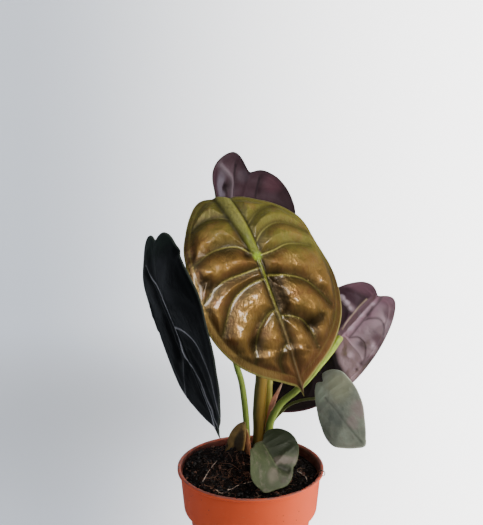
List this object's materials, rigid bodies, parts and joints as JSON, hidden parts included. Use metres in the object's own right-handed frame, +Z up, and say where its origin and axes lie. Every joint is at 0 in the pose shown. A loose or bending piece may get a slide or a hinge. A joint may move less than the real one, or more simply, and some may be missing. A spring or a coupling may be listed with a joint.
{
  "type": "potted alocasia plant",
  "caption": "Potted foliage plant with glossy quilted peltate leaves on slender stems in a round tapered nursery pot.",
  "frame": {"origin": "centre of the pot's flat base, on the surface it stands on", "axes": "+Z up through the stems, -Y towards the side that the large golden leaf faces"},
  "size_m": [0.1998, 0.1771, 0.3574],
  "materials": {
    "pot_plastic": "satin terracotta-orange moulded plastic",
    "soil": "crumbly dark peat with bark and pale fibres",
    "blade_gold": "glossy quilted copper-gold leaf with a metallic sheen and green veins",
    "blade_dark": "satin black-green leaf with faintly paler veins",
    "blade_purple": "satin purple underside with raised veins, dark green-copper above",
    "blade_young": "matte grey-green young leaf",
    "stem_brown": "golden-brown satin stem, darker at the foot",
    "stem_green": "bright green satin stem",
    "stem_yellow": "yellow-green satin stem",
    "stem_olive": "olive satin stem",
    "sheath_pink": "papery salmon-pink sheath with a dry tip",
    "scale_brown": "dull brown-olive old scale"
  },
  "bodies": {
    "root": {"pot": "pot_plastic", "soil": "soil", "leaf_front_blade": "blade_gold", "leaf_front_petiole": "stem_brown", "leaf_left_blade": "blade_dark", "leaf_left_petiole": "stem_green", "leaf_back_blade": "blade_purple", "leaf_back_petiole": "stem_yellow", "leaf_right_blade": "blade_purple", "leaf_right_petiole": "stem_green", "leaf_small_right_blade": "blade_young", "leaf_small_right_petiole": "stem_olive", "leaf_small_front_blade": "blade_young", "leaf_small_front_petiole": "stem_olive", "sheath_pink": "sheath_pink", "scale_brown": "scale_brown", "sheath_foot": "scale_brown"}
  },
  "joints": []
}
